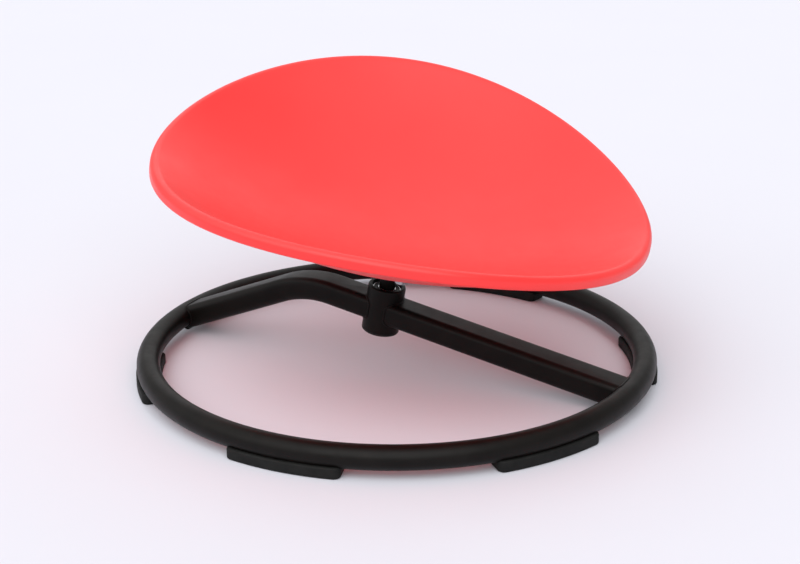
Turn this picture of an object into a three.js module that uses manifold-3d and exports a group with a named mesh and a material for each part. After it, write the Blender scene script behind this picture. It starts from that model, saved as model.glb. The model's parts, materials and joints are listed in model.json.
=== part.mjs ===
// A dish-shaped spinning seat on a hoop base. Millimetres, +Z up.
//
// The origin is on the floor at the centre of the hoop. -Y is the front and +Y the back, where
// the seat's rim is highest. The hoop is a steel tube that stands on six rubber feet. Two arms of
// rectangular tube cross it and carry a leaning bearing hub between them. The seat is a moulded
// dish, bolted to a plate on a spindle that turns in two ball bearings inside the hub.
//
// Three nested frames are used: the floor frame, the bar frame (+X along the two arms) and the
// hub frame (+Z along the spindle, origin where the spindle crosses the arms' centreline).

import * as THREE from 'three';
import { mergeVertices } from 'three/addons/utils/BufferGeometryUtils.js';
import Module from 'manifold-3d';

const wasm = await Module();
wasm.setup();

const DEGREE = Math.PI / 180;
const GAP = 0.3; // left between pieces that touch
const WELD_GAP = 0.5; // left between the arms and the hoop they are welded to

// Hoop of round steel tube.
const HOOP_RADIUS = 267.5;
const HOOP_HEIGHT = 20;
const TUBE_RADIUS = 12.5;
const TUBE_WALL = 2;

// Rubber feet, spaced by eye round the hoop, each held by one screw from below.
const FOOT_HEADINGS = [0.7, 62.8, 125.6, 188.4, 246.1, 302.8];
const FOOT_SPAN = 25.4;
const FOOT_WIDTH = 27;
const FOOT_HEIGHT = 12;
const FOOT_CORNER = 7;
const FOOT_CHAMFER = 1.2;
const FOOT_SCREW = { shank: 2.4, head: 4.6, headHeight: 2.6, pocket: 5.2, pocketDepth: 4.5, length: 17 };

// Arms: one straight, one with a bend where the crossbar is highest.
const BAR_HEADING = -26.9;
const BAR_WIDTH = 36;
const BAR_HEIGHT = 26;
const BAR_CORNER = 7;
const BAR_WALL = 2;
const BAR_END_HEIGHT = 16.2; // of the arms' centreline where they meet the hoop
const BEND_X = -107.2;
const BEND_HEIGHT = 83;
const BEND_RADIUS = 112;

// Bearing hub, square to the arms' slope.
const HUB_X = -15.6;
const HUB_RADIUS = 20.4;
const HUB_BORE = 16;
const HUB_LEDGE = 14.2;
const HUB_BOTTOM = -23.5;
const HUB_TOP = 27.4;
const HUB_ROUND = 1.6;
const HUB_MOUTH_CHAMFER = 0.8;
const CAP = { thickness: 2.5, chamfer: 1.5, spigot: 5.8, wall: 2.1 };

// Deep-groove ball bearings, 15 x 32 x 9.
const BEARING = { bore: 7.5, innerRace: 9.6, outerRace: 13.9, outside: HUB_BORE - GAP, width: 9 };
const BEARING_BOTTOMS = { upper: 15.4, lower: -12 };
const BALL = { count: 8, radius: 2.2, pitch: 11.75, groove: 2.5 };
const CAGE = { halfWidth: 0.6, halfHeight: 1.4 };
const SEAL = { thickness: 0.8, inset: 0.2 };

// Spindle and what holds it.
const SHAFT_RADIUS = 8.75;
const SPINDLE_END = -21.6;
const THREAD_RADIUS = 6.7;
const PLATE_WELD = 4;
const WASHER_THICKNESS = 1.6;
const LOCK_NUT = { corners: 12.1, height: 7.3, hole: 7 };
const PLATE = { radius: 50, thickness: 5, top: 60 };
const SEAT_BOLT = { count: 4, circle: 37, shank: 4, corners: 7.5, headHeight: 5.3, bite: 11 };
const SEAT_WASHER_RADIUS = 8;

// Seat dish. Without its rolled lip it would reach SEAT_RADIUS at RIM_HEIGHT above the arms.
const SEAT_RADIUS = 264;
const RIM_HEIGHT = 170;
const DISH_DEPTH = 90.4;
const SHELL_THICKNESS = 5;
const LIP_DEPTH = 13.1;
const LIP_ROUND = 6;
const LIP_WIDTH = 5;
const BOSS_RADIUS = 56;
// The rim rises and dips like a saddle, and the whole dish is canted up at the back.
const SADDLE = { height: 20, heading: 89.4 };
const CANT = { height: 18.1, heading: 91.7 };

// ---- worked out from the driving dimensions ----

const BAR_SLOPE = (BEND_HEIGHT - BAR_END_HEIGHT) / (HOOP_RADIUS - BEND_X); // of the straight arm
const HUB_LEAN = Math.atan(BAR_SLOPE);
const barHeight = (x) => BEND_HEIGHT - (x - BEND_X) * BAR_SLOPE;

// ---- materials ----

const material = (color, roughness, metalness) =>
  new THREE.MeshStandardMaterial({ color, roughness, metalness });
const PAINT = material(0x1b1b1c, 0.45, 0.3);
const RUBBER = material(0x141414, 0.85, 0);
const SEAT_PLASTIC = material(0xe8262b, 0.35, 0);
const BLACK_PLASTIC = material(0x121212, 0.6, 0);
const BEARING_STEEL = material(0xb9bcc0, 0.2, 1);
const ZINC = material(0xa7abb0, 0.4, 1);

// ---- shape helpers ----

// A solid from a closed geometry: vertices merged, slivers dropped, faces turned outwards.
function solid(geometry) {
  const bare = geometry.clone();
  for (const name of ['normal', 'uv']) bare.deleteAttribute(name);
  const merged = mergeVertices(bare);
  const position = merged.attributes.position;
  const corner = [0, 1, 2].map(() => new THREE.Vector3());
  const faces = [];
  let volume = 0;
  for (let i = 0; i < merged.index.count; i += 3) {
    const face = [0, 1, 2].map((k) => merged.index.getX(i + k));
    if (new Set(face).size < 3) continue;
    face.forEach((vertex, k) => corner[k].fromBufferAttribute(position, vertex));
    volume += corner[0].dot(corner[1].cross(corner[2]));
    faces.push(face);
  }
  if (volume < 0) faces.forEach((face) => face.reverse());
  const vertProperties = new Float32Array(position.array);
  const triVerts = new Uint32Array(faces.flat());
  return new wasm.Manifold(new wasm.Mesh({ numProp: 3, vertProperties, triVerts }));
}

function mesh(name, shape, finish) {
  const { vertProperties, triVerts } = shape.getMesh();
  const geometry = new THREE.BufferGeometry();
  geometry.setAttribute('position', new THREE.BufferAttribute(vertProperties, 3));
  geometry.setIndex(new THREE.BufferAttribute(triVerts, 1));
  geometry.computeVertexNormals();
  const object = new THREE.Mesh(geometry, finish);
  object.name = name;
  return object;
}

// A profile of [radius, height] pairs turned about +Z.
function turnedGeometry(profile, segments) {
  const points = profile.map(([radius, height]) => new THREE.Vector2(radius, height));
  return new THREE.LatheGeometry(points, segments).rotateX(Math.PI / 2);
}

const turned = (profile, segments = 20) => solid(turnedGeometry(profile, segments));

const disc = (radius, bottom, top, segments) =>
  turned([[0, bottom], [radius, bottom], [radius, top], [0, top]], segments);

const washer = (inner, outer, bottom, top, segments) =>
  turned([[inner, bottom], [outer, bottom], [outer, top], [inner, top], [inner, bottom]], segments);

const torus = (radius, tubeSides, segments) =>
  solid(new THREE.TorusGeometry(HOOP_RADIUS, radius, tubeSides, segments));

// Points of an arc from one angle to another, in degrees, about [x, y].
function arc([x, y], radius, from, to, steps) {
  return Array.from({ length: steps + 1 }, (_, i) => {
    const angle = (from + ((to - from) * i) / steps) * DEGREE;
    return [x + radius * Math.cos(angle), y + radius * Math.sin(angle)];
  });
}

// A rectangle with rounded corners, centred on the origin.
function roundedRectangle(width, height, corner, cornerSteps) {
  const x = width / 2 - corner;
  const y = height / 2 - corner;
  return [[x, y, 0], [-x, y, 90], [-x, -y, 180], [x, -y, 270]].flatMap(([cx, cy, start]) =>
    arc([cx, cy], corner, start, start + 90, cornerSteps));
}

const shapeOf = (points) => new THREE.Shape(points.map(([x, y]) => new THREE.Vector2(x, y)));

const polar = (radius, heading) =>
  new THREE.Vector3(radius * Math.cos(heading * DEGREE), radius * Math.sin(heading * DEGREE), 0);

// ---- hoop and feet ----

const HOOP_SEGMENTS = 72;
const HOOP_SIDES = 12;

// The cutter that shapes whatever is fitted against the hoop.
function hoopCutter(gap) {
  return torus(TUBE_RADIUS + gap, HOOP_SIDES, HOOP_SEGMENTS).translate([0, 0, HOOP_HEIGHT]);
}

function hoop() {
  const outside = torus(TUBE_RADIUS, HOOP_SIDES, HOOP_SEGMENTS);
  const bore = torus(TUBE_RADIUS - TUBE_WALL, 8, HOOP_SEGMENTS);
  let tube = outside.subtract(bore).translate([0, 0, HOOP_HEIGHT]);
  for (const heading of FOOT_HEADINGS) {
    const { x, y } = polar(HOOP_RADIUS, heading);
    const hole = disc(FOOT_SCREW.shank + GAP, 0, HOOP_HEIGHT, 12);
    tube = tube.subtract(hole.translate([x, y, 0]));
  }
  return tube;
}

// A pad that follows the hoop's curve, with a saddle for the tube and a pocket for its screw.
function foot(heading) {
  const length = HOOP_RADIUS * FOOT_SPAN * DEGREE;
  const inset = 2 * FOOT_CHAMFER;
  const flat = shapeOf(roundedRectangle(length - inset, FOOT_WIDTH - inset, FOOT_CORNER, 3));
  const outline = flat.getSpacedPoints(32).slice(0, -1).map(({ x, y }) => {
    const { x: px, y: py } = polar(HOOP_RADIUS + y, heading + x / HOOP_RADIUS / DEGREE);
    return [px, py];
  });
  const pad = solid(new THREE.ExtrudeGeometry(shapeOf(outline), {
    depth: FOOT_HEIGHT - inset,
    bevelThickness: FOOT_CHAMFER,
    bevelSize: FOOT_CHAMFER,
    bevelSegments: 1,
  }).translate(0, 0, FOOT_CHAMFER));
  const { x, y } = polar(HOOP_RADIUS, heading);
  const pocket = disc(FOOT_SCREW.pocket, -1, FOOT_SCREW.pocketDepth, 16);
  const hole = disc(FOOT_SCREW.shank + GAP, 0, HOOP_HEIGHT, 12);
  return pad.subtract(hoopCutter(GAP)).subtract(pocket.add(hole).translate([x, y, 0]));
}

function footScrew(heading) {
  const { shank, head, headHeight, pocketDepth, length } = FOOT_SCREW;
  const seatAt = pocketDepth - GAP;
  const headAt = seatAt - headHeight;
  const { x, y } = polar(HOOP_RADIUS, heading);
  return turned([
    [0, headAt], [head - 1, headAt], [head, headAt + 1], [head, seatAt],
    [shank, seatAt], [shank, headAt + length - 3], [0, headAt + length],
  ], 12).translate([x, y, 0]);
}

// ---- arms ----

// A line, an arc and a line in the X-Z plane, with its stations at the ends and round the arc.
class BentPath extends THREE.Curve {
  constructor(start, corner, end, radius, arcSteps) {
    super();
    const toStart = start.clone().sub(corner).normalize();
    const toEnd = end.clone().sub(corner).normalize();
    const half = toStart.angleTo(toEnd) / 2;
    const middle = toStart.clone().add(toEnd).normalize();
    const centre = middle.multiplyScalar(radius / Math.sin(half)).add(corner);
    const from = toStart.multiplyScalar(radius / Math.tan(half)).add(corner).sub(centre);
    const axis = new THREE.Vector3().crossVectors(from, toEnd).normalize();
    const turn = (Math.PI - 2 * half) / arcSteps;
    const round = Array.from({ length: arcSteps + 1 }, (_, i) =>
      from.clone().applyAxisAngle(axis, i * turn).add(centre));
    this.stations = [start, ...round, end];
  }

  getPoint(t, target = new THREE.Vector3()) {
    const place = Math.min(Math.max(t, 0), 1) * (this.stations.length - 1);
    const index = Math.min(Math.floor(place), this.stations.length - 2);
    return target.lerpVectors(this.stations[index], this.stations[index + 1], place - index);
  }

  getUtoTmapping(u) {
    return u;
  }
}

// Rectangular tube along a path, mitred against the hoop and the hub, and closed at the hoop.
function arm(path, steps, hubCutter) {
  const sweep = (inset) => {
    const width = BAR_WIDTH - 2 * inset;
    const section = roundedRectangle(width, BAR_HEIGHT - 2 * inset, BAR_CORNER - inset, 3);
    return solid(new THREE.ExtrudeGeometry(shapeOf(section), { steps, extrudePath: path }));
  };
  const cutter = hubCutter.add(hoopCutter(WELD_GAP).rotate([0, 0, -BAR_HEADING]));
  const boreReach = HOOP_RADIUS - TUBE_RADIUS - BAR_WALL;
  const bore = sweep(BAR_WALL).intersect(disc(boreReach, 0, BEND_HEIGHT + BAR_HEIGHT, HOOP_SEGMENTS));
  return sweep(0).subtract(cutter).subtract(bore);
}

function barPoint(x) {
  return new THREE.Vector3(x, 0, barHeight(x));
}

function arms(hubCutter) {
  const ARC_STEPS = 8;
  const corner = barPoint(BEND_X);
  const leftEnd = new THREE.Vector3(-HOOP_RADIUS, 0, BAR_END_HEIGHT);
  const bent = new BentPath(leftEnd, corner, barPoint(HUB_X), BEND_RADIUS, ARC_STEPS);
  const straight = new THREE.LineCurve3(barPoint(HUB_X), barPoint(HOOP_RADIUS));
  return [
    mesh('bent_arm', arm(bent, ARC_STEPS + 2, hubCutter), PAINT),
    mesh('straight_arm', arm(straight, 1, hubCutter), PAINT),
  ];
}

// ---- hub and bearings, in the hub frame ----

function bearingHub() {
  const ledgeTop = BEARING_BOTTOMS.upper - GAP;
  const ledgeBottom = BEARING_BOTTOMS.lower + BEARING.width + GAP;
  return turned([
    [HUB_BORE, HUB_BOTTOM], [HUB_RADIUS, HUB_BOTTOM],
    ...arc([HUB_RADIUS - HUB_ROUND, HUB_TOP - HUB_ROUND], HUB_ROUND, 0, 90, 3),
    [HUB_BORE + HUB_MOUTH_CHAMFER, HUB_TOP], [HUB_BORE, HUB_TOP - HUB_MOUTH_CHAMFER],
    [HUB_BORE, ledgeTop], [HUB_LEDGE, ledgeTop],
    [HUB_LEDGE, ledgeBottom], [HUB_BORE, ledgeBottom], [HUB_BORE, HUB_BOTTOM],
  ], 36);
}

function hubEndCap() {
  const top = HUB_BOTTOM - GAP;
  const bottom = top - CAP.thickness;
  const spigot = HUB_BORE - GAP;
  const spigotTop = top + CAP.spigot;
  const inside = spigot - CAP.wall;
  return turned([
    [0, bottom], [HUB_RADIUS - CAP.chamfer, bottom], [HUB_RADIUS, bottom + CAP.chamfer],
    [HUB_RADIUS, top], [spigot, top], [spigot, spigotTop], [inside, spigotTop], [inside, top],
    [0, top],
  ], 36);
}

// The two races of a bearing, each with a groove for the balls. Side is 1 outside, -1 inside.
function race(bottom, back, face, side) {
  const middle = bottom + BEARING.width / 2;
  const top = bottom + BEARING.width;
  const dip = Math.acos(Math.abs(face - BALL.pitch) / BALL.groove) / DEGREE;
  const centre = side > 0 ? 0 : 180;
  const groove = arc([BALL.pitch, middle], BALL.groove, centre - dip, centre + dip, 4);
  if (side < 0) groove.reverse();
  return turned([[back, bottom], [face, bottom], ...groove, [face, top], [back, top], [back, bottom]]);
}

function ballCage(bottom) {
  const middle = bottom + BEARING.width / 2;
  const { halfWidth, halfHeight } = CAGE;
  let cage = washer(BALL.pitch - halfWidth, BALL.pitch + halfWidth,
    middle - halfHeight, middle + halfHeight, 16);
  for (let i = 0; i < BALL.count; i += 1) {
    const { x, y } = polar(BALL.pitch, (360 / BALL.count) * i);
    const ball = solid(new THREE.SphereGeometry(BALL.radius, 6, 5).translate(x, y, middle));
    cage = cage.add(ball);
  }
  return cage;
}

function seal(bottom) {
  return washer(BEARING.innerRace + GAP, BEARING.outerRace - GAP, bottom, bottom + SEAL.thickness);
}

function bearing(place, bottom) {
  const top = bottom + BEARING.width;
  const { bore, innerRace, outerRace, outside } = BEARING;
  return [
    mesh(`${place}_outer_race`, race(bottom, outside, outerRace, 1), BEARING_STEEL),
    mesh(`${place}_inner_race`, race(bottom, bore, innerRace, -1), BEARING_STEEL),
    mesh(`${place}_ball_cage`, ballCage(bottom), BEARING_STEEL),
    mesh(`${place}_seal_top`, seal(top - SEAL.inset - SEAL.thickness), RUBBER),
    mesh(`${place}_seal_bottom`, seal(bottom + SEAL.inset), RUBBER),
  ];
}

// ---- spindle, in the hub frame ----

function spindle() {
  const shoulder = BEARING_BOTTOMS.upper + BEARING.width + GAP;
  const threadTop = BEARING_BOTTOMS.lower;
  const top = PLATE.top - PLATE.thickness - GAP;
  const journal = BEARING.bore - GAP;
  return turned([
    [0, SPINDLE_END], [THREAD_RADIUS - 1, SPINDLE_END], [THREAD_RADIUS, SPINDLE_END + 1],
    [THREAD_RADIUS, threadTop], [journal, threadTop], [journal, shoulder], [SHAFT_RADIUS, shoulder],
    [SHAFT_RADIUS, top - PLATE_WELD], [SHAFT_RADIUS + PLATE_WELD, top], [0, top],
  ]);
}

function raceSpacer() {
  const bottom = BEARING_BOTTOMS.lower + BEARING.width + GAP;
  return washer(BEARING.bore, BEARING.innerRace, bottom, BEARING_BOTTOMS.upper - GAP);
}

function spindleFasteners() {
  const washerTop = BEARING_BOTTOMS.lower - GAP;
  const nutTop = washerTop - WASHER_THICKNESS - GAP;
  const { corners, height, hole } = LOCK_NUT;
  const nut = disc(corners, nutTop - height, nutTop, 6)
    .subtract(disc(hole, nutTop - height - 1, nutTop + 1));
  const ring = washer(hole, BEARING.innerRace, washerTop - WASHER_THICKNESS, washerTop);
  return [mesh('spindle_washer', ring, ZINC), mesh('spindle_lock_nut', nut, ZINC)];
}

// ---- seat, in the hub frame ----

const boltPlaces = Array.from({ length: SEAT_BOLT.count }, (_, i) =>
  polar(SEAT_BOLT.circle, (360 / SEAT_BOLT.count) * (i + 0.5)));

// Takes the bolt holes out of a plate or boss between two heights.
function drilled(shape, bottom, top) {
  return boltPlaces.reduce((left, { x, y }) =>
    left.subtract(disc(SEAT_BOLT.shank + GAP, bottom, top, 16).translate([x, y, 0])), shape);
}

function seatPlate() {
  const { radius, thickness, top } = PLATE;
  const plate = disc(radius, top - thickness, top - GAP, 36);
  return drilled(plate, top - thickness - 1, top + 1);
}

function seatBolts() {
  const washerTop = PLATE.top - PLATE.thickness - GAP;
  const headTop = washerTop - WASHER_THICKNESS - GAP;
  const { shank, corners, headHeight, bite } = SEAT_BOLT;
  return boltPlaces.flatMap(({ x, y }, i) => {
    const bolt = disc(corners, headTop - headHeight, headTop, 6)
      .add(disc(shank, headTop - 1, PLATE.top + bite, 12));
    const ringBottom = washerTop - WASHER_THICKNESS;
    const ring = washer(shank + GAP, SEAT_WASHER_RADIUS, ringBottom, washerTop, 16);
    return [
      mesh(`seat_bolt_${i + 1}`, bolt.translate([x, y, 0]), ZINC),
      mesh(`seat_washer_${i + 1}`, ring.translate([x, y, 0]), ZINC),
    ];
  });
}

// How far the saddle and the cant lift a point of the dish.
function dishLift(x, y) {
  const reach = Math.hypot(x, y) / SEAT_RADIUS;
  const heading = Math.atan2(y, x) + BAR_HEADING * DEGREE;
  return SADDLE.height * reach ** 2 * Math.cos(2 * (heading - SADDLE.heading * DEGREE))
    + CANT.height * reach * Math.cos(heading - CANT.heading * DEGREE);
}

function seatShell() {
  const ROWS = 9;
  const dish = (radius) => RIM_HEIGHT - DISH_DEPTH * (1 - (radius / SEAT_RADIUS) ** 2);
  const rows = (limit, drop) => Array.from({ length: ROWS + 1 }, (_, i) => {
    const radius = (limit * i) / ROWS;
    return [radius, dish(radius) - drop];
  });
  // The lip rolls over from the dish's slope to the vertical.
  const rollRadius = SEAT_RADIUS - LIP_ROUND;
  const slope = Math.atan((2 * DISH_DEPTH * rollRadius) / SEAT_RADIUS ** 2);
  const rollStart = rollRadius - LIP_ROUND * Math.sin(slope);
  const rollHeight = dish(rollStart) - LIP_ROUND * Math.cos(slope);
  const lipBottom = rollHeight + LIP_ROUND - LIP_DEPTH;
  const lipHalf = LIP_WIDTH / 2;
  const geometry = turnedGeometry([
    ...rows(rollStart, 0).slice(0, -1),
    ...arc([rollRadius, rollHeight], LIP_ROUND, 90 + slope / DEGREE, 0, 5),
    ...arc([SEAT_RADIUS - lipHalf, lipBottom + lipHalf], lipHalf, 0, -180, 4),
    ...rows(SEAT_RADIUS - LIP_WIDTH, SHELL_THICKNESS).reverse(),
  ], 60);
  const position = geometry.attributes.position;
  for (let i = 0; i < position.count; i += 1) {
    position.setZ(i, position.getZ(i) + dishLift(position.getX(i), position.getY(i)));
  }
  const bossTop = dish(0) - SHELL_THICKNESS / 2;
  const boss = disc(BOSS_RADIUS, PLATE.top, bossTop, 36);
  return drilled(solid(geometry).add(boss), PLATE.top - 1, PLATE.top + SEAT_BOLT.bite + 1);
}

// ---- assembly ----

const object = new THREE.Group();
const floorFrame = new THREE.Group();
const barFrame = new THREE.Group();
const hubFrame = new THREE.Group();
object.add(floorFrame, barFrame);
barFrame.add(hubFrame);
barFrame.rotation.z = BAR_HEADING * DEGREE;
hubFrame.position.copy(barPoint(HUB_X));
hubFrame.rotation.y = HUB_LEAN;

floorFrame.add(mesh('base_ring', hoop(), PAINT));
FOOT_HEADINGS.forEach((heading, i) => {
  floorFrame.add(mesh(`foot_${i + 1}`, foot(heading), RUBBER));
  floorFrame.add(mesh(`foot_screw_${i + 1}`, footScrew(heading), ZINC));
});

const hubClearance = disc(HUB_RADIUS + GAP, -3 * HUB_RADIUS, 3 * HUB_RADIUS, 36)
  .rotate([0, HUB_LEAN / DEGREE, 0]).translate(barPoint(HUB_X).toArray());
barFrame.add(...arms(hubClearance));

hubFrame.add(mesh('bearing_hub', bearingHub(), PAINT));
hubFrame.add(mesh('hub_end_cap', hubEndCap(), BLACK_PLASTIC));
for (const [place, bottom] of Object.entries(BEARING_BOTTOMS)) hubFrame.add(...bearing(place, bottom));
hubFrame.add(mesh('spindle', spindle(), PAINT));
hubFrame.add(mesh('race_spacer', raceSpacer(), ZINC));
hubFrame.add(...spindleFasteners());
hubFrame.add(mesh('seat_plate', seatPlate(), PAINT));
hubFrame.add(...seatBolts());
hubFrame.add(mesh('seat_shell', seatShell(), SEAT_PLASTIC));

export default object;
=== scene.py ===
import json
import math

import bmesh
import bpy
from mathutils import Matrix, Vector


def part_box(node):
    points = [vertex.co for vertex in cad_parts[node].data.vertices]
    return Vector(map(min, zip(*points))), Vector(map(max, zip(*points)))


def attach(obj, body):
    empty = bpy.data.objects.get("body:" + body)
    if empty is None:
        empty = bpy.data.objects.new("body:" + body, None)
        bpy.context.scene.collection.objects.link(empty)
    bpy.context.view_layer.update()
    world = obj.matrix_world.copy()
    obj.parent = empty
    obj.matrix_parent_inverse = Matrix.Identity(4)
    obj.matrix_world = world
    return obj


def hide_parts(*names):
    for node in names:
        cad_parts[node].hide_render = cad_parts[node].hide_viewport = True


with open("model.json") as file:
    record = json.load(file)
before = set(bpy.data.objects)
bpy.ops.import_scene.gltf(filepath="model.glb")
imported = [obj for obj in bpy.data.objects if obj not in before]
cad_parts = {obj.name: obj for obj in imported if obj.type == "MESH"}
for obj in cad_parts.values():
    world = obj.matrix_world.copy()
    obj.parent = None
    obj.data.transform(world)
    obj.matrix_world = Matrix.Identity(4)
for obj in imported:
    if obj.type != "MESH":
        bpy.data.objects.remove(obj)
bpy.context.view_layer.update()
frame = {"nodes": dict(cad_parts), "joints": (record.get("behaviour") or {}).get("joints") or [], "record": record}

# A dish-shaped spinning seat on a hoop base. Shapes are made in millimetres, in the floor frame
# or in the hub frame (+Z along the spindle), and piece() scales them to metres.
MM = 0.001

# ---- places that come from the frame ----

SPIN = next(joint for joint in frame["joints"] if joint["name"] == "seat_spin")
SPIN_AXIS = Vector(SPIN["axis"])
HUB_PLACE = Vector(SPIN["pos_m"]) / MM
BAR_HEADING = math.atan2(SPIN_AXIS.y, SPIN_AXIS.x)
HUB_LEAN = math.acos(SPIN_AXIS.z)
BAR_FRAME = Matrix.Rotation(BAR_HEADING, 4, "Z")
HUB_FRAME = Matrix.Translation(HUB_PLACE) @ BAR_FRAME @ Matrix.Rotation(HUB_LEAN, 4, "Y")

RING_LOW, RING_HIGH = (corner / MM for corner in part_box("base_ring"))
TUBE_RADIUS = (RING_HIGH.z - RING_LOW.z) / 2
HOOP_HEIGHT = (RING_HIGH.z + RING_LOW.z) / 2
HOOP_RADIUS = RING_HIGH.x - TUBE_RADIUS
FOOT_COUNT = sum(name.startswith("foot_screw_") for name in frame["nodes"])

# ---- sizes that repeat the CAD model's ----

GAP = 0.3
FOOT_SPAN = math.radians(25.4)
FOOT_WIDTH = 27
FOOT_HEIGHT = 12
FOOT_CORNER = 7
FOOT_ROUND = 2.2
SCREW_SHANK, SCREW_HEAD, SCREW_POCKET, POCKET_DEPTH = 2.4, 4.6, 5.2, 4.5
SCREW_HEAD_HEIGHT, SCREW_LENGTH = 2.6, 17

BAR_WIDTH = 36
BAR_HEIGHT = 26
BAR_CORNER = 7
BAR_WALL = 2
BAR_PLUG = 16  # length that is solid at the hoop
BAR_END_HEIGHT = 16.2
BEND_X = -107.2
BEND_HEIGHT = 83
BEND_RADIUS = 112
BAR_SLOPE = math.tan(HUB_LEAN)

HUB_RADIUS = 20.4
HUB_BORE = 16
HUB_LEDGE = 14.2
HUB_BOTTOM = -23.5
HUB_TOP = 27.4
CAP_THICKNESS, CAP_SPIGOT, CAP_SPIGOT_WALL = 2.5, 5.8, 2.1
RACE_BORE, INNER_RACE, OUTER_RACE, RACE_OUTSIDE = 7.5, 9.6, 13.9, HUB_BORE - GAP
BEARING_WIDTH = 9
BEARING_BOTTOMS = {"upper": 15.4, "lower": -12}
BALLS, BALL_RADIUS, BALL_PITCH, BALL_GROOVE = 8, 2.2, 11.75, 2.5
CAGE_HALF_WIDTH, CAGE_HALF_HEIGHT = 0.6, 1.4
SEAL_THICKNESS, SEAL_INSET = 0.8, 0.2

SHAFT_RADIUS = 8.75
SPINDLE_END = -21.6
THREAD_RADIUS = 6.7
WASHER_THICKNESS = 1.6
LOCK_NUT_CORNERS, LOCK_NUT_HEIGHT, LOCK_NUT_HOLE = 12.1, 7.3, 7
PLATE_RADIUS, PLATE_THICKNESS, PLATE_TOP = 50, 5, 60
BOLTS, BOLT_CIRCLE, BOLT_SHANK, BOLT_CORNERS, BOLT_HEAD = 4, 37, 4, 7.5, 5.3
BOLT_BITE = 11  # into the seat
SEAT_WASHER_RADIUS = 8

SEAT_RADIUS = 264
RIM_HEIGHT = 170
DISH_DEPTH = 90.4
SHELL_THICKNESS = 5
LIP_DEPTH = 13.1
LIP_ROUND = 6
LIP_WIDTH = 5
BOSS_RADIUS = 56
SADDLE_HEIGHT, SADDLE_HEADING = 20, math.radians(89.4)
CANT_HEIGHT, CANT_HEADING = 18.1, math.radians(91.7)

BODY_OF = {
    node: body
    for body, nodes in frame["record"]["behaviour"]["bodies"].items()
    for node in nodes
}

# ---- shape helpers ----

TURNS = 96  # steps round a turned piece
SMALL_TURNS = 48  # and round a small one
SHARP = math.radians(32)  # edges sharper than this stay crisp


def polar(radius, heading, height=0.0):
    return Vector((radius * math.cos(heading), radius * math.sin(heading), height))


def rounded(corners, steps=5):
    """A closed outline from (x, y, radius) corners, each one rounded off by its radius."""
    points = []
    for i, (x, y, radius) in enumerate(corners):
        corner = Vector((x, y))
        before = (Vector(corners[i - 1][:2]) - corner).normalized()
        after = (Vector(corners[(i + 1) % len(corners)][:2]) - corner).normalized()
        if radius == 0:
            points.append(corner)
            continue
        half = before.angle(after) / 2
        centre = corner + (before + after).normalized() * radius / math.sin(half)
        start = corner + before * radius / math.tan(half) - centre
        sweep = start.angle_signed(corner + after * radius / math.tan(half) - centre)
        for step in range(steps + 1):
            turn = Matrix.Rotation(-sweep * step / steps, 2)
            points.append(centre + turn @ start)
    return points


def rectangle(x, y, corner):
    """Corners for rounded(), half the width and half the height from the middle."""
    return [(-x, -y, corner), (x, -y, corner), (x, y, corner), (-x, y, corner)]


def loft(loops, closed=False):
    """A solid through loops of equal length. Its ends are capped, or joined if it is closed."""
    shape = bmesh.new()
    rows = []
    for loop in loops:
        if (Vector(loop[0]) - Vector(loop[-1])).length < 1e-7 and len(loop) > 1:
            rows.append([shape.verts.new(loop[0])] * len(loop))
        else:
            rows.append([shape.verts.new(point) for point in loop])
    pairs = list(zip(rows, rows[1:]))
    if closed:
        pairs.append((rows[-1], rows[0]))
    for low, high in pairs:
        for i in range(len(low)):
            j = (i + 1) % len(low)
            corners = list(dict.fromkeys((low[i], low[j], high[j], high[i])))
            if len(corners) > 2:
                shape.faces.new(corners)
    if not closed:
        for row in (rows[0], rows[-1]):
            if row[0] is not row[1]:
                shape.faces.new(row)
    bmesh.ops.recalc_face_normals(shape, faces=shape.faces)
    return shape


def circle(radius, height, steps=TURNS):
    return [polar(radius, 2 * math.pi * i / steps, height) for i in range(steps)]


def turned(outline, steps=TURNS):
    """A solid turned about +Z. The outline closes on itself, or starts and ends on the axis."""
    on_axis = outline[0][0] == 0
    return loft([circle(radius, height, steps) for radius, height in outline], not on_axis)


def pin(corners, steps=TURNS):
    """A solid turned from (radius, height, fillet) corners, from the bottom centre to the top."""
    low, high = corners[0][1], corners[-1][1]
    outline = rounded([(0, low, 0), *corners, (0, high, 0)])
    return turned(outline, steps)


def ring(corners, steps=TURNS):
    return turned(rounded(corners), steps)


def washer(inner, outer, bottom, top, fillet=0.3):
    return ring([(inner, bottom, fillet), (outer, bottom, fillet),
                 (outer, top, fillet), (inner, top, fillet)])


def moved(shape, place):
    bmesh.ops.translate(shape, vec=place, verts=shape.verts)
    return shape


def joined(*shapes):
    """Several shapes in one mesh."""
    whole = shapes[0]
    for shape in shapes[1:]:
        spare = bpy.data.meshes.new("spare")
        shape.to_mesh(spare)
        shape.free()
        whole.from_mesh(spare)
        bpy.data.meshes.remove(spare)
    return whole


def cut(shape, *cutters):
    """Takes closed cutters out of a shape."""
    helpers = []
    for solid in (shape, *cutters):
        helper_mesh = bpy.data.meshes.new("helper")
        solid.to_mesh(helper_mesh)
        solid.free()
        helper = bpy.data.objects.new("helper", helper_mesh)
        bpy.context.scene.collection.objects.link(helper)
        helpers.append(helper)
    for cutter in helpers[1:]:
        modifier = helpers[0].modifiers.new("cut", "BOOLEAN")
        modifier.operation = "DIFFERENCE"
        modifier.solver = "EXACT"
        modifier.object = cutter
    evaluated = helpers[0].evaluated_get(bpy.context.evaluated_depsgraph_get())
    result = bmesh.new()
    result.from_mesh(evaluated.to_mesh())
    evaluated.to_mesh_clear()
    for helper in helpers:
        bpy.data.meshes.remove(helper.data)
    return result


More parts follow.
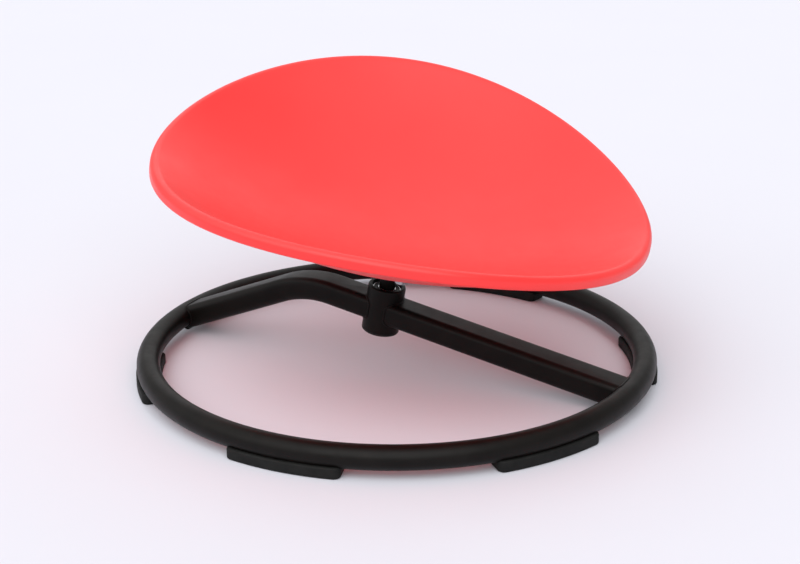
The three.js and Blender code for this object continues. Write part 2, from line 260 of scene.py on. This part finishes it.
def piece(name, shape, look, body, place=Matrix()):
    """Makes a Blender object of a shape, rides it on its body and gives it its material."""
    mesh = bpy.data.meshes.new(name)
    shape.to_mesh(mesh)
    shape.free()
    mesh.transform(Matrix.Scale(MM, 4) @ place)
    for polygon in mesh.polygons:
        polygon.use_smooth = True
    mesh.set_sharp_from_angle(angle=SHARP)
    mesh.materials.append(look)
    item = bpy.data.objects.new(name, mesh)
    bpy.context.scene.collection.objects.link(item)
    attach(item, body)
    return item


def stand_in(node, shape, look, place=Matrix()):
    """A fine piece that is shown in place of a CAD node."""
    item = piece("fine_" + node, shape, look, BODY_OF[node], place)
    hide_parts(node)


# ---- materials ----


class Look:
    """A material whose colour, gloss and relief vary with the place on the piece."""

    def __init__(self, name, **sockets):
        self.material = bpy.data.materials.new(name)
        self.material.use_nodes = True
        self.nodes = self.material.node_tree.nodes
        self.links = self.material.node_tree.links
        self.shader = self.nodes["Principled BSDF"]
        for socket, value in sockets.items():
            self.shader.inputs[socket.replace("_", " ")].default_value = value
        self.place = self.nodes.new("ShaderNodeTexCoord").outputs["Object"]
        self.relief = None

    def noise(self, scale, detail=3.0, roughness=0.5, stretch=None):
        """Cloudy grain with that many cells to a metre, drawn out along an axis by stretch."""
        texture = self.nodes.new("ShaderNodeTexNoise")
        texture.inputs["Scale"].default_value = scale
        texture.inputs["Detail"].default_value = detail
        texture.inputs["Roughness"].default_value = roughness
        place = self.place
        if stretch:
            mapping = self.nodes.new("ShaderNodeMapping")
            mapping.inputs["Scale"].default_value = stretch
            self.links.new(place, mapping.inputs["Vector"])
            place = mapping.outputs["Vector"]
        self.links.new(place, texture.inputs["Vector"])
        return texture.outputs["Fac"]

    def cells(self, scale):
        texture = self.nodes.new("ShaderNodeTexVoronoi")
        texture.inputs["Scale"].default_value = scale
        self.links.new(self.place, texture.inputs["Vector"])
        return texture.outputs["Distance"]

    def ranged(self, pattern, low, high, start=0.3, end=0.7):
        """Spreads a pattern's middle from low to high."""
        span = self.nodes.new("ShaderNodeMapRange")
        span.inputs["From Min"].default_value = start
        span.inputs["From Max"].default_value = end
        span.inputs["To Min"].default_value = low
        span.inputs["To Max"].default_value = high
        self.links.new(pattern, span.inputs["Value"])
        return span.outputs["Result"]

    def tint(self, pattern, dark, light, start=0.3, end=0.7):
        ramp = self.nodes.new("ShaderNodeValToRGB")
        ramp.color_ramp.elements[0].position = start
        ramp.color_ramp.elements[0].color = (*dark, 1)
        ramp.color_ramp.elements[1].position = end
        ramp.color_ramp.elements[1].color = (*light, 1)
        self.links.new(pattern, ramp.inputs["Fac"])
        self.links.new(ramp.outputs["Color"], self.shader.inputs["Base Color"])

    def gloss(self, pattern, low, high):
        self.links.new(self.ranged(pattern, low, high), self.shader.inputs["Roughness"])

    def emboss(self, pattern, height, strength=1.0):
        """Adds relief of that height in millimetres on top of the relief already there."""
        bump = self.nodes.new("ShaderNodeBump")
        bump.inputs["Distance"].default_value = height * MM
        bump.inputs["Strength"].default_value = strength
        self.links.new(pattern, bump.inputs["Height"])
        if self.relief:
            self.links.new(self.relief, bump.inputs["Normal"])
        self.relief = bump.outputs["Normal"]
        self.links.new(self.relief, self.shader.inputs["Normal"])


def moulded_red():
    look = Look("moulded_red", Specular_IOR_Level=0.5)
    look.tint(look.noise(7, 4), (0.92, 0.028, 0.028), (0.95, 0.034, 0.032))
    look.gloss(look.noise(22, 5, 0.6), 0.33, 0.43)
    look.emboss(look.noise(9, 2), 0.25, 0.35)
    look.emboss(look.noise(950, 2, 0.6), 0.06, 0.35)
    return look.material


def powder_coat():
    look = Look("powder_coat", Specular_IOR_Level=0.15)
    look.tint(look.noise(35, 6, 0.6), (0.003, 0.0024, 0.002), (0.0065, 0.0052, 0.0044))
    look.gloss(look.noise(60, 5, 0.6), 0.36, 0.46)
    look.emboss(look.noise(420, 3, 0.55), 0.1, 0.35)
    look.emboss(look.noise(1600, 2), 0.03, 0.5)
    return look.material


def foot_rubber():
    look = Look("foot_rubber", Specular_IOR_Level=0.2)
    look.tint(look.noise(60, 6, 0.6), (0.005, 0.0052, 0.005), (0.011, 0.011, 0.0105))
    look.gloss(look.noise(90, 5, 0.6), 0.6, 0.78)
    look.emboss(look.cells(1100), 0.08, 0.5)
    return look.material


def cap_plastic():
    look = Look("cap_plastic", Specular_IOR_Level=0.4)
    look.tint(look.noise(90, 5), (0.008, 0.008, 0.008), (0.014, 0.014, 0.014))
    look.gloss(look.noise(120, 4), 0.42, 0.56)
    look.emboss(look.noise(1400, 3), 0.05, 0.5)
    return look.material


def seal_rubber():
    look = Look("seal_rubber", Specular_IOR_Level=0.4)
    look.tint(look.noise(300, 4), (0.008, 0.008, 0.0085), (0.014, 0.014, 0.0145))
    look.gloss(look.noise(260, 4), 0.4, 0.55)
    look.emboss(look.noise(1900, 2), 0.03, 0.5)
    return look.material


def ground_steel():
    look = Look("ground_steel", Metallic=1.0)
    look.tint(look.noise(400, 3, 0.5, (1, 1, 9)), (0.5, 0.51, 0.53), (0.66, 0.67, 0.69))
    look.gloss(look.noise(500, 4, 0.6, (1, 1, 9)), 0.16, 0.3)
    look.emboss(look.noise(900, 2, 0.5, (1, 1, 12)), 0.015, 0.5)
    return look.material


def zinc_plate():
    look = Look("zinc_plate", Metallic=1.0)
    look.tint(look.cells(420), (0.46, 0.47, 0.5), (0.66, 0.67, 0.69), 0.1, 0.8)
    look.gloss(look.noise(300, 5, 0.6), 0.28, 0.44)
    look.emboss(look.noise(1500, 3), 0.02, 0.5)
    return look.material


def pale_floor():
    look = Look("pale_floor", Specular_IOR_Level=0.0)
    look.tint(look.noise(3, 2), (0.708, 0.706, 0.771), (0.713, 0.711, 0.776))
    look.gloss(look.noise(4, 2), 0.9, 0.95)
    return look.material


RED = moulded_red()
PAINT = powder_coat()
RUBBER = foot_rubber()
BLACK_PLASTIC = cap_plastic()
SEAL = seal_rubber()
STEEL = ground_steel()
ZINC = zinc_plate()

# ---- hoop ----

SEAM = {"heading": math.radians(97), "height": 0.25, "half_width": math.radians(0.5)}
HOOP_STEPS, CUTTER_STEPS, HOOP_SIDES = 360, 288, 40


def torus(tube_radius, steps, seam=0.0):
    """A ring on the hoop's centreline, with a butt weld that stands proud by the seam height."""
    loops = []
    for i in range(steps):
        heading = 2 * math.pi * i / steps
        away = (heading - SEAM["heading"]) / SEAM["half_width"]
        radius = tube_radius + seam * math.exp(-away * away)
        loops.append([
            polar(HOOP_RADIUS + radius * math.cos(side), heading,
                  HOOP_HEIGHT + radius * math.sin(side))
            for side in (2 * math.pi * k / HOOP_SIDES for k in range(HOOP_SIDES))
        ])
    return loft(loops, closed=True)


# ---- feet ----


def foot_headings():
    for i in range(FOOT_COUNT):
        low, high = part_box(f"foot_screw_{i + 1}")
        yield math.atan2(low.y + high.y, low.x + high.x)


def foot(heading):
    """A pad that follows the hoop's curve, with rounded ends and edges and a screw pocket."""
    length = HOOP_RADIUS * FOOT_SPAN
    corner_steps = 8
    side_steps = 24
    edge_steps = 5

    def outline(inset, height):
        x, y, corner = length / 2 - inset, FOOT_WIDTH / 2 - inset, FOOT_CORNER - inset
        flat = rounded(rectangle(x, y, corner), corner_steps)
        points = []
        for i, start in enumerate(flat):
            end = flat[(i + 1) % len(flat)]
            steps = side_steps if (end - start).length > length / 2 else 1
            points += [start.lerp(end, step / steps) for step in range(steps)]
        return [polar(HOOP_RADIUS + p.y, heading + p.x / HOOP_RADIUS, height) for p in points]

    loops = []
    for end, direction in ((0, 1), (FOOT_HEIGHT, -1)):
        for step in range(edge_steps + 1):
            angle = step / edge_steps * math.pi / 2
            inset = FOOT_ROUND * (1 - math.sin(angle))
            rise = FOOT_ROUND * (1 - math.cos(angle))
            loops.append((end + direction * rise, inset))
    loops.sort()
    pad = loft([outline(inset, height) for height, inset in loops])
    place = polar(HOOP_RADIUS, heading)
    pocket = pin([(SCREW_POCKET, -1, 0), (SCREW_POCKET, POCKET_DEPTH, 0)], SMALL_TURNS)
    hole_radius = SCREW_SHANK + GAP
    hole = pin([(hole_radius, 0, 0), (hole_radius, HOOP_HEIGHT, 0)], SMALL_TURNS // 2)
    return cut(pad, torus(TUBE_RADIUS + GAP, CUTTER_STEPS), moved(pocket, place),
               moved(hole, place))


def foot_screw(heading):
    """A pan-head screw with a cross recess, its head up inside the pocket."""
    top = POCKET_DEPTH - GAP
    bottom = top - SCREW_HEAD_HEIGHT
    tip = bottom + SCREW_LENGTH
    slot_size = (5.4, 0.9, 2.6)
    slot_heading = 0.4
    screw = pin([
        (SCREW_HEAD, bottom, 1.4), (SCREW_HEAD, top, 0.2), (SCREW_SHANK, top, 0),
        (SCREW_SHANK, tip - 3, 0.4), (0.6, tip, 0.2),
    ], SMALL_TURNS)
    slots = []
    for turn in (0, math.pi / 2):
        slot = bmesh.new()
        bmesh.ops.create_cube(slot, size=1)
        bmesh.ops.scale(slot, vec=slot_size, verts=slot.verts)
        rotation = Matrix.Rotation(turn + slot_heading, 3, "Z")
        bmesh.ops.rotate(slot, matrix=rotation, verts=slot.verts)
        slots.append(moved(slot, Vector((0, 0, bottom))))
    return moved(cut(screw, *slots), polar(HOOP_RADIUS, heading))


# ---- arms ----


def bar_height(x):
    return BEND_HEIGHT - (x - BEND_X) * BAR_SLOPE


def bar_stations(straight):
    """Points and directions along one arm's centreline, in the bar frame."""
    hub_end = Vector((-HUB_PLACE.to_2d().length, 0, HUB_PLACE.z))
    if straight:
        far = Vector((HOOP_RADIUS, 0, bar_height(HOOP_RADIUS)))
        way = (far - hub_end).normalized()
        return [(hub_end, way), (far, way)]
    corner = Vector((BEND_X, 0, bar_height(BEND_X)))
    start = Vector((-HOOP_RADIUS, 0, BAR_END_HEIGHT))
    back, ahead = (start - corner).normalized(), (hub_end - corner).normalized()
    half = back.angle(ahead) / 2
    centre = corner + (back + ahead).normalized() * BEND_RADIUS / math.sin(half)
    first = corner + back * BEND_RADIUS / math.tan(half) - centre
    turn = math.pi - 2 * half
    steps = 24
    stations = [(start, -back)]
    for step in range(steps + 1):
        rotation = Matrix.Rotation(turn * step / steps, 3, "Y")
        stations.append((centre + rotation @ first, rotation @ -back))
    stations.append((hub_end, ahead))
    return stations


def bar_section(inset=0.0):
    x, y = BAR_WIDTH / 2 - inset, BAR_HEIGHT / 2 - inset
    return rounded(rectangle(x, y, BAR_CORNER - inset), 6)


def square_to(way):
    """The direction that is square to an arm and to its width, and points up."""
    up = way.cross(Vector((0, 1, 0))).normalized()
    if up.z < 0:
        up.negate()
    return up


def swept(stations, section):
    loops = []
    for point, way in stations:
        up = square_to(way)
        loops.append([BAR_FRAME @ (point + Vector((0, p.x, 0)) + up * p.y) for p in section])
    return loft(loops)


def hub_cutter():
    reach = 60  # past the arms, above and below
    cutter = pin([(HUB_RADIUS, -reach, 0), (HUB_RADIUS, reach, 0)])
    cutter.transform(HUB_FRAME)
    return cutter


def arm(straight):
    """Rectangular tube, mitred against the hoop and the hub, and closed at the hoop."""
    stations = bar_stations(straight)
    bore = bar_stations(straight)
    if straight:
        bore[-1] = (bore[-1][0] - bore[-1][1] * BAR_PLUG, bore[-1][1])
    else:
        bore[0] = (bore[0][0] + bore[0][1] * BAR_PLUG, bore[0][1])
    return cut(swept(stations, bar_section()), torus(TUBE_RADIUS, CUTTER_STEPS), hub_cutter(),
               swept(bore, bar_section(BAR_WALL)))


# ---- weld beads ----

BEAD_RADIUS = 1.3
BEAD_SIDES = 12
BEAD_STEP = 0.6
BEAD_RIPPLE = 0.18
BEAD_PITCH = 2.6


def from_hoop(point):
    """How far a point is outside the hoop's surface."""
    reach = point.to_2d().length - HOOP_RADIUS
    return math.hypot(reach, point.z - HOOP_HEIGHT) - TUBE_RADIUS


def from_hub(point):
    return (HUB_FRAME.inverted() @ point).to_2d().length - HUB_RADIUS


def bead(end, way, reach, distance):
    """A rippled bead where the last reach of an arm meets a surface, or else at the arm's end."""
    halvings = 30
    up = square_to(way)
    section = bar_section()
    path = []
    for i, start in enumerate(section):
        after = section[(i + 1) % len(section)]
        steps = max(1, round((after - start).length / BEAD_STEP))
        for step in range(steps):
            offset = start.lerp(after, step / steps)
            point = end - way * reach + Vector((0, offset.x, 0)) + up * offset.y
            near, far = 0.0, reach
            for _ in range(halvings):
                middle = (near + far) / 2
                if distance(BAR_FRAME @ (point + way * middle)) > 0:
                    near = middle
                else:
                    far = middle
            path.append(BAR_FRAME @ (point + way * near))
    loops = []
    run = 0.0
    for i, point in enumerate(path):
        along = path[(i + 1) % len(path)] - path[i - 1]
        run += (point - path[i - 1]).length if i else 0.0
        side = along.cross(BAR_FRAME.to_3x3() @ way).normalized()
        over = side.cross(along).normalized()
        ripple = BEAD_RIPPLE * (1 - abs(math.sin(math.pi * run / BEAD_PITCH)))
        radius = BEAD_RADIUS - ripple
        loops.append([
            point + (side * math.cos(a) + over * math.sin(a)) * radius
            for a in (2 * math.pi * k / BEAD_SIDES for k in range(BEAD_SIDES))
        ])
    return loft(loops, closed=True)


def weld_beads():
    straight = bar_stations(True)
    bent = bar_stations(False)
    lines = {
        "weld_hoop_right": (straight[1][0], straight[1][1], from_hoop),
        "weld_hoop_left": (bent[0][0], -bent[0][1], from_hoop),
        "weld_hub_right": (straight[0][0], -straight[0][1], from_hub),
        "weld_hub_left": (bent[-1][0], bent[-1][1], from_hub),
    }
    for name, (end, way, distance) in lines.items():
        reach = 2 * (TUBE_RADIUS if distance is from_hoop else HUB_RADIUS)
        piece(name, bead(end, way, reach, distance), PAINT, "base")


# ---- hub and bearings, in the hub frame ----


def bearing_hub():
    ledge_top = BEARING_BOTTOMS["upper"] - GAP
    ledge_bottom = BEARING_BOTTOMS["lower"] + BEARING_WIDTH + GAP
    return ring([
        (HUB_BORE, HUB_BOTTOM, 0.4), (HUB_RADIUS, HUB_BOTTOM, 0.5), (HUB_RADIUS, HUB_TOP, 2.2),
        (HUB_BORE, HUB_TOP, 0.9), (HUB_BORE, ledge_top, 0), (HUB_LEDGE, ledge_top, 0.2),
        (HUB_LEDGE, ledge_bottom, 0.2), (HUB_BORE, ledge_bottom, 0),
    ])


def hub_end_cap():
    top = HUB_BOTTOM - GAP
    bottom = top - CAP_THICKNESS
    spigot = HUB_BORE - GAP
    inside = spigot - CAP_SPIGOT_WALL
    spigot_top = top + CAP_SPIGOT
    return pin([
        (HUB_RADIUS, bottom, 1.8), (HUB_RADIUS, top, 0.3), (spigot, top, 0),
        (spigot, spigot_top, 0.6), (inside, spigot_top, 0.4), (inside, top, 0),
    ])


def race(bottom, back, face, outer):
    """One race of a bearing, with its groove for the balls."""
    middle = bottom + BEARING_WIDTH / 2
    top = bottom + BEARING_WIDTH
    dip = math.acos(abs(face - BALL_PITCH) / BALL_GROOVE)
    middle_heading = 0 if outer else math.pi
    steps = 10
    turn = dip if outer else -dip
    groove = [
        (BALL_PITCH + BALL_GROOVE * math.cos(heading), middle + BALL_GROOVE * math.sin(heading), 0)
        for heading in (middle_heading - turn + 2 * turn * i / steps for i in range(steps + 1))
    ]
    return ring([(back, bottom, 0.6), (face, bottom, 0.25), *groove, (face, top, 0.25),
                 (back, top, 0.6)])


def ball_cage(bottom):
    middle = bottom + BEARING_WIDTH / 2
    parts = [washer(BALL_PITCH - CAGE_HALF_WIDTH, BALL_PITCH + CAGE_HALF_WIDTH,
                    middle - CAGE_HALF_HEIGHT, middle + CAGE_HALF_HEIGHT, 0.2)]
    for i in range(BALLS):
        ball = bmesh.new()
        bmesh.ops.create_uvsphere(ball, u_segments=24, v_segments=16, radius=BALL_RADIUS)
        parts.append(moved(ball, polar(BALL_PITCH, 2 * math.pi * i / BALLS, middle)))
    return joined(*parts)


def seal(bottom, upward):
    """A thin seal ring with a shallow groove round its outer face."""
    inner, outer = INNER_RACE + GAP, OUTER_RACE - GAP
    low, high = bottom, bottom + SEAL_THICKNESS
    face, back = (high, low) if upward else (low, high)
    dip = face + (back - face) * 0.4
    rim, foot_of_rim = 0.8, 1.1
    return ring([(inner, back, 0.1), (outer, back, 0.1), (outer, face, 0.2),
                 (outer - rim, face, 0.1), (outer - foot_of_rim, dip, 0.1),
                 (inner + foot_of_rim, dip, 0.1), (inner + rim, face, 0.1), (inner, face, 0.2)])


def bearings():
    for where, bottom in BEARING_BOTTOMS.items():
        top = bottom + BEARING_WIDTH
        shapes = {
            "outer_race": (race(bottom, RACE_OUTSIDE, OUTER_RACE, True), STEEL, "bearing_steel"),
            "inner_race": (race(bottom, RACE_BORE, INNER_RACE, False), STEEL, "bearing_steel"),
            "ball_cage": (ball_cage(bottom), STEEL, "bearing_steel"),
            "seal_top": (seal(top - SEAL_INSET - SEAL_THICKNESS, True), SEAL, "seal_rubber"),
            "seal_bottom": (seal(bottom + SEAL_INSET, False), SEAL, "seal_rubber"),
        }
        for name, (shape, look, slot) in shapes.items():
            stand_in(f"{where}_{name}", shape, look, HUB_FRAME)


# ---- spindle and fasteners, in the hub frame ----


def spindle():
    """The turning shaft: threaded below, a journal in the bearings, and a weld under the plate."""
    shoulder = BEARING_BOTTOMS["upper"] + BEARING_WIDTH + GAP
    thread_top = BEARING_BOTTOMS["lower"]
    top = PLATE_TOP - PLATE_THICKNESS - GAP
    journal = RACE_BORE - GAP
    pitch = 1.5
    depth = 0.5
    point = 1
    flare = 4
    thread = []
    for i in range(int((thread_top - SPINDLE_END - point) / pitch)):
        height = SPINDLE_END + point + i * pitch
        thread += [(THREAD_RADIUS, height, 0), (THREAD_RADIUS - depth, height + pitch / 2, 0)]
    return pin([
        (THREAD_RADIUS - point, SPINDLE_END, 0), *thread, (THREAD_RADIUS, thread_top, 0),
        (journal, thread_top, 0), (journal, shoulder, 0.3), (SHAFT_RADIUS, shoulder, 0.5),
        (SHAFT_RADIUS, top - flare, 3), (SHAFT_RADIUS + flare, top - 0.6, 0),
        (SHAFT_RADIUS + flare, top, 0),
    ])


def hexagon(corners, bottom, top):
    """A hexagon head with its corners turned off at the bottom."""
    flat = corners * math.cos(math.pi / 6)
    face = flat * 0.93
    steps = 8
    height = (corners - face) * math.tan(math.pi / 6)
    levels = [
        (bottom + height * step / steps, face + (corners - face) * step / steps)
        for step in range(steps + 1)
    ]
    loops = []
    for level, limit in [*levels, (top, corners)]:
        loop = []
        for i in range(TURNS):
            heading = 2 * math.pi * i / TURNS
            side = flat / math.cos(heading % (math.pi / 3) - math.pi / 6)
            loop.append(polar(min(side, limit), heading, level))
        loops.append(loop)
    return loft(loops)


def spindle_fasteners():
    bottom = BEARING_BOTTOMS["lower"] + BEARING_WIDTH + GAP
    spacer = washer(RACE_BORE, INNER_RACE, bottom, BEARING_BOTTOMS["upper"] - GAP)
    washer_top = BEARING_BOTTOMS["lower"] - GAP
    nut_top = washer_top - WASHER_THICKNESS - GAP
    nut = cut(
        hexagon(LOCK_NUT_CORNERS, nut_top - LOCK_NUT_HEIGHT, nut_top),
        pin([(LOCK_NUT_HOLE, nut_top - LOCK_NUT_HEIGHT - 1, 0), (LOCK_NUT_HOLE, nut_top + 1, 0)]),
    )
    ring_below = washer(LOCK_NUT_HOLE, INNER_RACE, washer_top - WASHER_THICKNESS, washer_top)
    for node, shape in (("race_spacer", spacer), ("spindle_washer", ring_below),
                        ("spindle_lock_nut", nut)):
        stand_in(node, shape, ZINC, HUB_FRAME)


def bolt_places():
    return [polar(BOLT_CIRCLE, 2 * math.pi * (i + 0.5) / BOLTS) for i in range(BOLTS)]


def bolt_holes():
    radius, reach = BOLT_SHANK + GAP, 2 * PLATE_THICKNESS
    low, high = PLATE_TOP - reach, PLATE_TOP + reach
    return [
        moved(pin([(radius, low, 0), (radius, high, 0)], SMALL_TURNS), place)
        for place in bolt_places()
    ]


def seat_plate():
    bottom = PLATE_TOP - PLATE_THICKNESS
    plate = pin([(PLATE_RADIUS, bottom, 0.8), (PLATE_RADIUS, PLATE_TOP - GAP, 0.5)], 128)
    return cut(plate, *bolt_holes())


def seat_bolts():
    washer_top = PLATE_TOP - PLATE_THICKNESS - GAP
    head_top = washer_top - WASHER_THICKNESS - GAP
    for i, place in enumerate(bolt_places()):
        head = hexagon(BOLT_CORNERS, head_top - BOLT_HEAD, head_top)
        tip = (BOLT_SHANK, PLATE_TOP + BOLT_BITE, 0.5)
        shank = pin([(BOLT_SHANK, head_top, 0), tip], SMALL_TURNS)
        bolt = joined(moved(head, place), moved(shank, place))
        flat = washer(BOLT_SHANK + GAP, SEAT_WASHER_RADIUS, washer_top - WASHER_THICKNESS,
                      washer_top)
        stand_in(f"seat_bolt_{i + 1}", bolt, ZINC, HUB_FRAME)
        stand_in(f"seat_washer_{i + 1}", moved(flat, place), ZINC, HUB_FRAME)


# ---- seat, in the hub frame ----


def dish(radius):
    return RIM_HEIGHT - DISH_DEPTH * (1 - (radius / SEAT_RADIUS) ** 2)


def dish_lift(x, y):
    """How far the rim's saddle and the dish's cant lift a point."""
    reach = math.hypot(x, y) / SEAT_RADIUS
    heading = math.atan2(y, x) + BAR_HEADING
    saddle = SADDLE_HEIGHT * reach**2 * math.cos(2 * (heading - SADDLE_HEADING))
    return saddle + CANT_HEIGHT * reach * math.cos(heading - CANT_HEADING)


def seat_shell():
    rows = 56
    turns = 240
    roll_radius = SEAT_RADIUS - LIP_ROUND
    slope = math.atan(2 * DISH_DEPTH * roll_radius / SEAT_RADIUS**2)
    roll_start = roll_radius - LIP_ROUND * math.sin(slope)
    roll_height = dish(roll_start) - LIP_ROUND * math.cos(slope)
    roll_steps = 14
    inner_lip = SEAT_RADIUS - LIP_WIDTH
    lip_bottom = roll_height + LIP_ROUND - LIP_DEPTH
    boss_root = BOSS_RADIUS + 8
    boss_fade = 15  # height over which the seat's lift grows above the boss

    def arch(start, end, drop):
        radii = (start + (end - start) * i / rows for i in range(rows + 1))
        return [(radius, dish(radius) - drop, 0) for radius in radii]

    roll = [
        (roll_radius + LIP_ROUND * math.cos(angle), roll_height + LIP_ROUND * math.sin(angle), 0)
        for angle in ((math.pi / 2 + slope) * (1 - i / roll_steps) for i in range(roll_steps + 1))
    ]
    outline = rounded([
        *arch(0, roll_start, 0)[:-1], *roll,
        (SEAT_RADIUS, lip_bottom, 2.8), (inner_lip, lip_bottom, 2),
        (inner_lip, dish(inner_lip) - SHELL_THICKNESS, 1.2),
        *arch(inner_lip - 4, boss_root, SHELL_THICKNESS),
        (BOSS_RADIUS, dish(boss_root) - SHELL_THICKNESS - 1.5, 3), (BOSS_RADIUS, PLATE_TOP, 1),
        (0, PLATE_TOP, 0),
    ])
    shape = turned([tuple(point) for point in outline], turns)
    for vertex in shape.verts:
        fade = min(1.0, (vertex.co.z - PLATE_TOP) / boss_fade)
        vertex.co.z += fade * dish_lift(vertex.co.x, vertex.co.y)
    return shape


# ---- camera, floor and light ----

CAMERA_PLACE = (0, -1.6839, 0.7065)
CAMERA_ANGLES = (19.861, 0.133, 0.331)  # pitch, yaw and roll in degrees
FOCAL_LENGTH, SENSOR_WIDTH = 75.2, 36
FLOOR_REACH = 14


def camera():
    """Looks down at the front of the object from 1.7 m away."""
    lens = bpy.data.cameras.new("camera")
    lens.lens = FOCAL_LENGTH
    lens.sensor_width = SENSOR_WIDTH
    lens.sensor_fit = "HORIZONTAL"
    lens.clip_end = 50
    pitch, yaw, roll = (math.radians(angle) for angle in CAMERA_ANGLES)
    item = bpy.data.objects.new("camera", lens)
    turn = Matrix.Rotation(-yaw, 4, "Z") @ Matrix.Rotation(math.pi / 2 - pitch, 4, "X")
    level = Matrix.Rotation(-roll, 4, "Z")
    item.matrix_world = Matrix.Translation(CAMERA_PLACE) @ turn @ level
    bpy.context.scene.collection.objects.link(item)
    bpy.context.scene.camera = item


def floor():
    mesh = bpy.data.meshes.new("floor")
    shape = bmesh.new()
    bmesh.ops.create_grid(shape, x_segments=4, y_segments=4, size=FLOOR_REACH)
    shape.to_mesh(mesh)
    shape.free()
    mesh.materials.append(pale_floor())
    item = bpy.data.objects.new("floor", mesh)
    bpy.context.scene.collection.objects.link(item)


# name: heading, height above the floor and spread in degrees, and strength
LAMPS = {
    "overhead": (0, 90, 60, 0.45),
    "front": (-90, 45, 60, 1.65),
    "front_left": (-140, 35, 50, 0.56),
    "left": (180, 40, 60, 0.52),
    "back": (90, 40, 60, 0.38),
}


def light():
    world = bpy.data.worlds.new("studio")
    world.use_nodes = True
    background = world.node_tree.nodes["Background"]
    background.inputs["Color"].default_value = (1, 1, 1, 1)
    background.inputs["Strength"].default_value = 0.5
    bpy.context.scene.world = world
    for name, (heading, height, spread, strength) in LAMPS.items():
        lamp = bpy.data.lights.new(name, "SUN")
        lamp.energy = strength
        lamp.angle = math.radians(spread)
        item = bpy.data.objects.new(name, lamp)
        tip = math.radians(height)
        toward = polar(math.cos(tip), math.radians(heading), math.sin(tip))
        item.rotation_euler = toward.to_track_quat("Z", "Y").to_euler()
        bpy.context.scene.collection.objects.link(item)
    bpy.context.scene.view_settings.view_transform = "Standard"


# ---- assembly ----

camera()
floor()
light()

stand_in("base_ring", torus(TUBE_RADIUS, HOOP_STEPS, SEAM["height"]), PAINT)
for number, heading in enumerate(foot_headings(), 1):
    stand_in(f"foot_{number}", foot(heading), RUBBER)
    stand_in(f"foot_screw_{number}", foot_screw(heading), ZINC)
stand_in("bent_arm", arm(straight=False), PAINT)
stand_in("straight_arm", arm(straight=True), PAINT)
weld_beads()
stand_in("bearing_hub", bearing_hub(), PAINT, HUB_FRAME)
stand_in("hub_end_cap", hub_end_cap(), BLACK_PLASTIC, HUB_FRAME)
bearings()
stand_in("spindle", spindle(), PAINT, HUB_FRAME)
spindle_fasteners()
stand_in("seat_plate", seat_plate(), PAINT, HUB_FRAME)
seat_bolts()
stand_in("seat_shell", seat_shell(), RED, HUB_FRAME)
